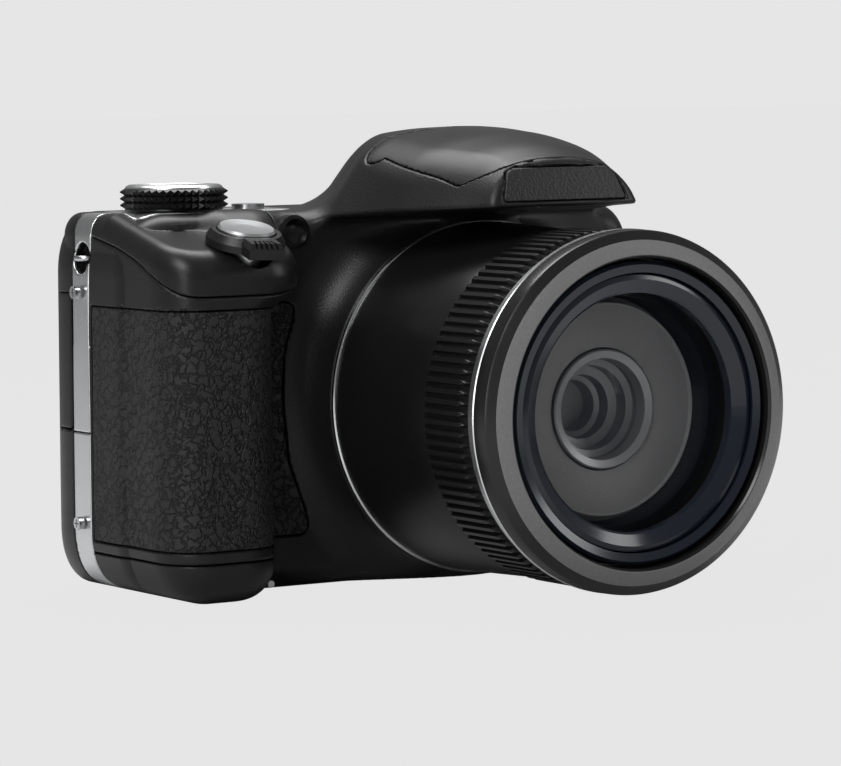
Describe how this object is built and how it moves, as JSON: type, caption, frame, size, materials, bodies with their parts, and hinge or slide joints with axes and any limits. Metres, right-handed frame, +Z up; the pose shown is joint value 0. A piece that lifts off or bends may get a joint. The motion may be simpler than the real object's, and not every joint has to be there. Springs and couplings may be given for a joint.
{
  "type": "bridge camera",
  "caption": "Bridge camera with a deep ribbed zoom lens, pop-up flash hump, rubber grip, mode dial, zoom lever, fixed rear screen and battery door.",
  "frame": {"origin": "mouth of the tripod socket, on the bottom face under the lens axis", "axes": "+X to the right seen from the front with the grip at -X, +Y to the back, +Z up"},
  "size_m": [0.1228, 0.1026, 0.0888],
  "materials": {
    "cover": "fine grained black",
    "deck": "satin black",
    "silver": "satin silver",
    "steel": "machined",
    "chrome": "bright thin rings",
    "rubber": "leather-grained black",
    "plate": "coarse grained black",
    "barrel": "satin black",
    "ribs": "ribbed black",
    "bezel": "black with grained inner cone",
    "lens_ring": "blue-black gloss",
    "glass": "coated lens glass",
    "baffle": "grained dark grey",
    "lens_trim": "dark grey anodised",
    "board": "green circuit board",
    "motor": "bare",
    "battery": "grey label",
    "card": "blue-black",
    "lamp": "smoked amber lens",
    "key": "satin black keys",
    "record": "dark red key",
    "flash": "frosted flash window",
    "capacitor": "blue sleeve",
    "lcd": "screen module",
    "screen": "black screen window"
  },
  "bodies": {
    "body": {"front_cover": "cover", "rear_cover": "cover", "top_cover": "deck", "top_plate": "silver", "side_band_upper": "silver", "side_band_lower": "silver", "band_screws": "steel", "strap_lugs": "steel", "grip_rubber": "rubber", "name_plate": "plate", "lens_skirt": "barrel", "skirt_ring": "chrome", "rib_ring": "ribs", "silver_ring": "chrome", "front_bezel": "bezel", "lens_housing": "barrel", "image_sensor": "board", "main_board": "board", "zoom_motor": "motor", "battery": "battery", "memory_card": "card", "door_pin": "steel", "tripod_bush": "steel", "bottom_screws": "steel", "af_lamp_ring": "barrel", "af_lamp_lens": "lamp", "flash_pin": "steel", "flash_capacitor": "capacitor", "lcd_panel": "lcd", "lcd_window": "screen", "thumb_rest": "rubber"},
    "outer_tube": {"outer_zoom_tube": "barrel"},
    "front_tube": {"front_zoom_tube": "barrel", "front_lens_ring": "lens_ring", "front_glass": "glass"},
    "inner_group": {"inner_barrel": "baffle", "inner_lens_ring": "lens_trim", "inner_glass": "glass"},
    "battery_door": {"battery_door": "cover"},
    "port_cover": {"port_cover": "rubber"},
    "mode_dial": {"mode_dial": "barrel", "dial_cap": "silver"},
    "zoom_lever": {"zoom_lever": "deck"},
    "shutter_button": {"shutter_button": "silver"},
    "drive_button": {"drive_button": "key"},
    "power_button": {"power_button": "silver"},
    "flash": {"flash_lid": "deck", "flash_window": "flash"},
    "control_pad": {"control_pad": "key"},
    "set_button": {"set_button": "key"},
    "menu_button": {"menu_button": "key"},
    "play_button": {"play_button": "key"},
    "display_button": {"display_button": "key"},
    "video_button": {"video_button": "record"}
  },
  "joints": [
    {"name": "outer_tube_slide", "type": "slide", "parent": "body", "child": "outer_tube", "axis": [0, -1, 0], "range_m": [0, 0.022]},
    {"name": "front_tube_slide", "type": "slide", "parent": "outer_tube", "child": "front_tube", "axis": [0, -1, 0], "range_m": [0, 0.022]},
    {"name": "inner_group_slide", "type": "slide", "parent": "front_tube", "child": "inner_group", "axis": [0, 1, 0], "range_m": [0, 0.003]},
    {"name": "mode_dial_turn", "type": "hinge", "parent": "body", "child": "mode_dial", "pos_m": [-0.0555, 0.0027, 0.0735], "axis": [0, 0, 1], "continuous": true},
    {"name": "zoom_lever_turn", "type": "hinge", "parent": "body", "child": "zoom_lever", "pos_m": [-0.0545, -0.0225, 0.0672], "axis": [0, -0.2504, 0.9681], "range_deg": [-25, 25], "stiffness_Nm_per_rad": 0.05},
    {"name": "shutter_press", "type": "slide", "parent": "body", "child": "shutter_button", "axis": [0, 0.2504, -0.9681], "range_m": [0, 0.0012], "stiffness_N_per_m": 800},
    {"name": "drive_press", "type": "slide", "parent": "body", "child": "drive_button", "axis": [0, 0, -1], "range_m": [0, 0.0007], "stiffness_N_per_m": 800},
    {"name": "power_press", "type": "slide", "parent": "body", "child": "power_button", "axis": [0, 0, -1], "range_m": [0, 0.0007], "stiffness_N_per_m": 800},
    {"name": "control_pad_press", "type": "slide", "parent": "body", "child": "control_pad", "axis": [0, -1, 0], "range_m": [0, 0.0005], "stiffness_N_per_m": 1000},
    {"name": "set_press", "type": "slide", "parent": "body", "child": "set_button", "axis": [0, -1, 0], "range_m": [0, 0.0005], "stiffness_N_per_m": 800},
    {"name": "menu_press", "type": "slide", "parent": "body", "child": "menu_button", "axis": [0, -1, 0], "range_m": [0, 0.0005], "stiffness_N_per_m": 800},
    {"name": "play_press", "type": "slide", "parent": "body", "child": "play_button", "axis": [0, -1, 0], "range_m": [0, 0.0005], "stiffness_N_per_m": 800},
    {"name": "display_press", "type": "slide", "parent": "body", "child": "display_button", "axis": [0, -1, 0], "range_m": [0, 0.0005], "stiffness_N_per_m": 800},
    {"name": "video_press", "type": "slide", "parent": "body", "child": "video_button", "axis": [0, -1, 0], "range_m": [0, 0.0005], "stiffness_N_per_m": 800},
    {"name": "flash_hinge", "type": "hinge", "parent": "body", "child": "flash", "pos_m": [0, -0.0175, 0.0854], "axis": [-1, 0, 0], "range_deg": [0, 50]},
    {"name": "battery_door_hinge", "type": "hinge", "parent": "body", "child": "battery_door", "pos_m": [-0.0471, 0, 0.0022], "axis": [0, -1, 0], "range_deg": [0, 85]},
    {"name": "port_cover_hinge", "type": "hinge", "parent": "body", "child": "port_cover", "pos_m": [-0.0754, 0.0119, 0.045], "axis": [0, 0, 1], "range_deg": [0, 80]}
  ],
  "couplings": [
    {"joint": "front_tube_slide", "follows": "outer_tube_slide", "ratio": 1},
    {"joint": "inner_group_slide", "follows": "outer_tube_slide", "ratio": 0.136}
  ]
}
